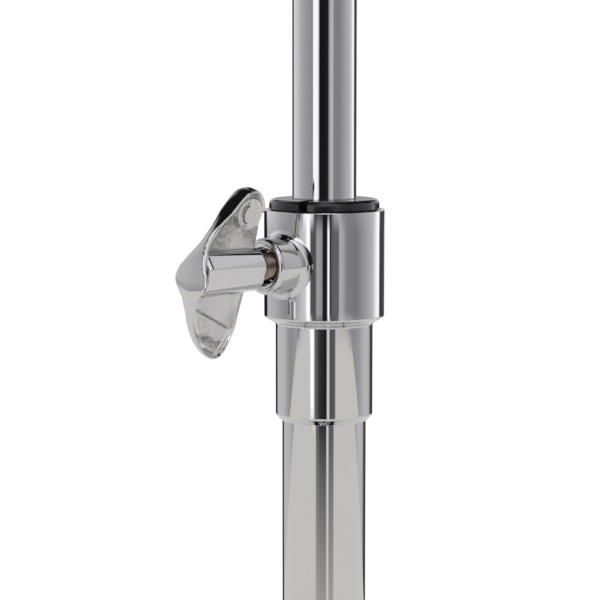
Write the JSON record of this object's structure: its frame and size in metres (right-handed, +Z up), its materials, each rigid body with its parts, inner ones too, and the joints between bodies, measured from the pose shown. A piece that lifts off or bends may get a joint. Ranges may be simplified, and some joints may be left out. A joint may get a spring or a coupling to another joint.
{
  "type": "snare drum stand",
  "caption": "Folding tripod stand with a telescopic post, wing-screw height clamp, tilter and gripping basket that holds a snare drum level or tilted.",
  "frame": {"origin": "middle of the bounding box on the floor, under the feet", "axes": "+Z up along the post; one leg and one basket arm point along +Y; the height clamp's wing screw points towards -X and -Y"},
  "size_m": [0.4804, 0.4193, 0.6205],
  "materials": {
    "lower_tube": "bright chrome plating on drawn tube and pressed sheet",
    "tube_end_cap": "black moulded rubber",
    "brace_hub": "chrome plating over a casting, slightly uneven",
    "hub_pin_1": "plain steel pins and threaded rod, lightly darkened",
    "hub_pin_2": "plain steel pins and threaded rod, lightly darkened",
    "hub_pin_3": "plain steel pins and threaded rod, lightly darkened",
    "clamp_collar": "bright chrome plating on drawn tube and pressed sheet",
    "clamp_bush": "black moulded nylon with a soft gloss",
    "clamp_shoe": "plain turned brass",
    "clamp_wing_handle": "chrome plating over a casting, slightly uneven",
    "clamp_wing_shank": "plain steel pins and threaded rod, lightly darkened",
    "upper_tube": "bright chrome plating on drawn tube and pressed sheet",
    "upper_tube_glide": "black moulded nylon with a soft gloss",
    "tilter_base": "chrome plating over a casting, slightly uneven",
    "tilter_nut": "plain steel pins and threaded rod, lightly darkened",
    "tilter_wing_handle": "chrome plating over a casting, slightly uneven",
    "tilter_wing_shank": "plain steel pins and threaded rod, lightly darkened",
    "tilter_head": "chrome plating over a casting, slightly uneven",
    "tilter_spacer": "black moulded nylon with a soft gloss",
    "basket_stem": "plain steel pins and threaded rod, lightly darkened",
    "basket_spider": "chrome plating over a casting, slightly uneven",
    "basket_yoke": "chrome plating over a casting, slightly uneven",
    "yoke_pin_1": "plain steel pins and threaded rod, lightly darkened",
    "yoke_pin_2": "plain steel pins and threaded rod, lightly darkened",
    "yoke_pin_3": "plain steel pins and threaded rod, lightly darkened",
    "basket_nut": "black moulded nylon with a soft gloss",
    "leg_collar": "chrome plating over a casting, slightly uneven",
    "collar_pin_1": "plain steel pins and threaded rod, lightly darkened",
    "collar_pin_2": "plain steel pins and threaded rod, lightly darkened",
    "collar_pin_3": "plain steel pins and threaded rod, lightly darkened",
    "leg_collar_wing_handle": "chrome plating over a casting, slightly uneven",
    "leg_collar_wing_shank": "plain steel pins and threaded rod, lightly darkened",
    "brace_1": "bright chrome plating on drawn tube and pressed sheet",
    "leg_1_strip_left": "bright chrome plating on drawn tube and pressed sheet",
    "leg_1_strip_right": "bright chrome plating on drawn tube and pressed sheet",
    "leg_1_foot": "black moulded rubber",
    "leg_1_brace_pin": "plain steel pins and threaded rod, lightly darkened",
    "leg_1_spacer": "plain steel pins and threaded rod, lightly darkened",
    "link_1": "bright chrome plating on drawn tube and pressed sheet",
    "arm_1": "bright chrome plating on drawn tube and pressed sheet",
    "grip_1": "black moulded rubber",
    "brace_2": "bright chrome plating on drawn tube and pressed sheet",
    "leg_2_strip_left": "bright chrome plating on drawn tube and pressed sheet",
    "leg_2_strip_right": "bright chrome plating on drawn tube and pressed sheet",
    "leg_2_foot": "black moulded rubber",
    "leg_2_brace_pin": "plain steel pins and threaded rod, lightly darkened",
    "leg_2_spacer": "plain steel pins and threaded rod, lightly darkened",
    "link_2": "bright chrome plating on drawn tube and pressed sheet",
    "arm_2": "bright chrome plating on drawn tube and pressed sheet",
    "grip_2": "black moulded rubber",
    "brace_3": "bright chrome plating on drawn tube and pressed sheet",
    "leg_3_strip_left": "bright chrome plating on drawn tube and pressed sheet",
    "leg_3_strip_right": "bright chrome plating on drawn tube and pressed sheet",
    "leg_3_foot": "black moulded rubber",
    "leg_3_brace_pin": "plain steel pins and threaded rod, lightly darkened",
    "leg_3_spacer": "plain steel pins and threaded rod, lightly darkened",
    "link_3": "bright chrome plating on drawn tube and pressed sheet",
    "arm_3": "bright chrome plating on drawn tube and pressed sheet",
    "grip_3": "black moulded rubber"
  },
  "bodies": {
    "stand": {"lower_tube": "lower_tube", "tube_end_cap": "tube_end_cap", "brace_hub": "brace_hub", "hub_pin_1": "hub_pin_1", "hub_pin_2": "hub_pin_2", "hub_pin_3": "hub_pin_3", "clamp_collar": "clamp_collar", "clamp_bush": "clamp_bush", "clamp_shoe": "clamp_shoe"},
    "clamp_wing": {"clamp_wing_handle": "clamp_wing_handle", "clamp_wing_shank": "clamp_wing_shank"},
    "upper_tube": {"upper_tube": "upper_tube", "upper_tube_glide": "upper_tube_glide"},
    "tilter_base": {"tilter_base": "tilter_base", "tilter_nut": "tilter_nut"},
    "tilter_wing": {"tilter_wing_handle": "tilter_wing_handle", "tilter_wing_shank": "tilter_wing_shank"},
    "tilter_head": {"tilter_head": "tilter_head", "tilter_spacer": "tilter_spacer", "basket_stem": "basket_stem", "basket_spider": "basket_spider"},
    "basket_yoke": {"basket_yoke": "basket_yoke", "yoke_pin_1": "yoke_pin_1", "yoke_pin_2": "yoke_pin_2", "yoke_pin_3": "yoke_pin_3"},
    "basket_nut": {"basket_nut": "basket_nut"},
    "leg_collar": {"leg_collar": "leg_collar", "collar_pin_1": "collar_pin_1", "collar_pin_2": "collar_pin_2", "collar_pin_3": "collar_pin_3"},
    "leg_collar_wing": {"leg_collar_wing_handle": "leg_collar_wing_handle", "leg_collar_wing_shank": "leg_collar_wing_shank"},
    "brace_1": {"brace_1": "brace_1"},
    "leg_1": {"leg_1_strip_left": "leg_1_strip_left", "leg_1_strip_right": "leg_1_strip_right", "leg_1_foot": "leg_1_foot", "leg_1_brace_pin": "leg_1_brace_pin", "leg_1_spacer": "leg_1_spacer"},
    "link_1": {"link_1": "link_1"},
    "arm_1": {"arm_1": "arm_1", "grip_1": "grip_1"},
    "brace_2": {"brace_2": "brace_2"},
    "leg_2": {"leg_2_strip_left": "leg_2_strip_left", "leg_2_strip_right": "leg_2_strip_right", "leg_2_foot": "leg_2_foot", "leg_2_brace_pin": "leg_2_brace_pin", "leg_2_spacer": "leg_2_spacer"},
    "link_2": {"link_2": "link_2"},
    "arm_2": {"arm_2": "arm_2", "grip_2": "grip_2"},
    "brace_3": {"brace_3": "brace_3"},
    "leg_3": {"leg_3_strip_left": "leg_3_strip_left", "leg_3_strip_right": "leg_3_strip_right", "leg_3_foot": "leg_3_foot", "leg_3_brace_pin": "leg_3_brace_pin", "leg_3_spacer": "leg_3_spacer"},
    "link_3": {"link_3": "link_3"},
    "arm_3": {"arm_3": "arm_3", "grip_3": "grip_3"}
  },
  "joints": [
    {"name": "clamp_wing_turn", "type": "hinge", "parent": "stand", "child": "clamp_wing", "pos_m": [-0.01732, -0.08282, 0.3026], "axis": [-0.7071, -0.7071, 0], "range_deg": [-20, 360]},
    {"name": "upper_tube_slide", "type": "slide", "parent": "stand", "child": "upper_tube", "axis": [0, 0, 1], "range_m": [-0.064, 0.13]},
    {"name": "tilter_swivel", "type": "hinge", "parent": "upper_tube", "child": "tilter_base", "pos_m": [0, -0.0655, 0.386], "axis": [0, 0, 1], "continuous": true},
    {"name": "tilter_wing_turn", "type": "hinge", "parent": "tilter_base", "child": "tilter_wing", "pos_m": [0.0143, -0.0655, 0.429], "axis": [1, 0, 0], "range_deg": [-20, 360]},
    {"name": "tilt", "type": "hinge", "parent": "tilter_base", "child": "tilter_head", "pos_m": [0, -0.0655, 0.429], "axis": [1, 0, 0], "range_deg": [-90, 90]},
    {"name": "brace_1_fold", "type": "hinge", "parent": "stand", "child": "brace_1", "pos_m": [0, -0.0405, 0.05451], "axis": [1, 0, 0], "range_deg": [-8, 52]},
    {"name": "leg_1_fold", "type": "hinge", "parent": "brace_1", "child": "leg_1", "pos_m": [0, 0.03896, 0.09676], "axis": [1, 0, 0], "range_deg": [-104, 16]},
    {"name": "link_1_fold", "type": "hinge", "parent": "tilter_head", "child": "link_1", "pos_m": [0, -0.0415, 0.54858], "axis": [-1, 0, 0], "range_deg": [-8, 48]},
    {"name": "arm_1_fold", "type": "hinge", "parent": "link_1", "child": "arm_1", "pos_m": [0, -0.00726, 0.53745], "axis": [-1, 0, 0], "range_deg": [-96, 16]},
    {"name": "brace_2_fold", "type": "hinge", "parent": "stand", "child": "brace_2", "pos_m": [-0.02165, -0.078, 0.05451], "axis": [-0.5, 0.866, 0], "range_deg": [-8, 52]},
    {"name": "leg_2_fold", "type": "hinge", "parent": "brace_2", "child": "leg_2", "pos_m": [-0.09047, -0.11773, 0.09676], "axis": [-0.5, 0.866, 0], "range_deg": [-104, 16]},
    {"name": "link_2_fold", "type": "hinge", "parent": "tilter_head", "child": "link_2", "pos_m": [-0.02079, -0.0775, 0.54858], "axis": [0.5, -0.866, 0], "range_deg": [-8, 48]},
    {"name": "arm_2_fold", "type": "hinge", "parent": "link_2", "child": "arm_2", "pos_m": [-0.05044, -0.09462, 0.53745], "axis": [0.5, -0.866, 0], "range_deg": [-96, 16]},
    {"name": "brace_3_fold", "type": "hinge", "parent": "stand", "child": "brace_3", "pos_m": [0.02165, -0.078, 0.05451], "axis": [-0.5, -0.866, 0], "range_deg": [-8, 52]},
    {"name": "leg_3_fold", "type": "hinge", "parent": "brace_3", "child": "leg_3", "pos_m": [0.09047, -0.11773, 0.09676], "axis": [-0.5, -0.866, 0], "range_deg": [-104, 16]},
    {"name": "link_3_fold", "type": "hinge", "parent": "tilter_head", "child": "link_3", "pos_m": [0.02079, -0.0775, 0.54858], "axis": [0.5, 0.866, 0], "range_deg": [-8, 48]},
    {"name": "arm_3_fold", "type": "hinge", "parent": "link_3", "child": "arm_3", "pos_m": [0.05044, -0.09462, 0.53745], "axis": [0.5, 0.866, 0], "range_deg": [-96, 16]},
    {"name": "leg_collar_turn", "type": "hinge", "parent": "leg_1", "child": "leg_collar", "pos_m": [0, -0.0405, 0.13901], "axis": [1, 0, 0], "range_deg": [-8, 52]},
    {"name": "leg_collar_wing_turn", "type": "hinge", "parent": "leg_collar", "child": "leg_collar_wing", "pos_m": [0, -0.0895, 0.13901], "axis": [0, -1, 0], "range_deg": [-20, 360]},
    {"name": "basket_yoke_turn", "type": "hinge", "parent": "arm_1", "child": "basket_yoke", "pos_m": [0, -0.0415, 0.52633], "axis": [-1, 0, 0], "range_deg": [-8, 48]},
    {"name": "basket_nut_turn", "type": "hinge", "parent": "basket_yoke", "child": "basket_nut", "pos_m": [0, -0.0655, 0.51983], "axis": [0, 0, 1], "continuous": true}
  ],
  "couplings": [
    {"joint": "leg_1_fold", "follows": "brace_1_fold", "ratio": -2},
    {"joint": "arm_1_fold", "follows": "link_1_fold", "ratio": -2},
    {"joint": "leg_2_fold", "follows": "brace_1_fold", "ratio": -2},
    {"joint": "brace_2_fold", "follows": "brace_1_fold", "ratio": 1},
    {"joint": "arm_2_fold", "follows": "link_1_fold", "ratio": -2},
    {"joint": "link_2_fold", "follows": "link_1_fold", "ratio": 1},
    {"joint": "leg_3_fold", "follows": "brace_1_fold", "ratio": -2},
    {"joint": "brace_3_fold", "follows": "brace_1_fold", "ratio": 1},
    {"joint": "arm_3_fold", "follows": "link_1_fold", "ratio": -2},
    {"joint": "link_3_fold", "follows": "link_1_fold", "ratio": 1},
    {"joint": "leg_collar_turn", "follows": "brace_1_fold", "ratio": 1},
    {"joint": "basket_yoke_turn", "follows": "link_1_fold", "ratio": 1}
  ]
}
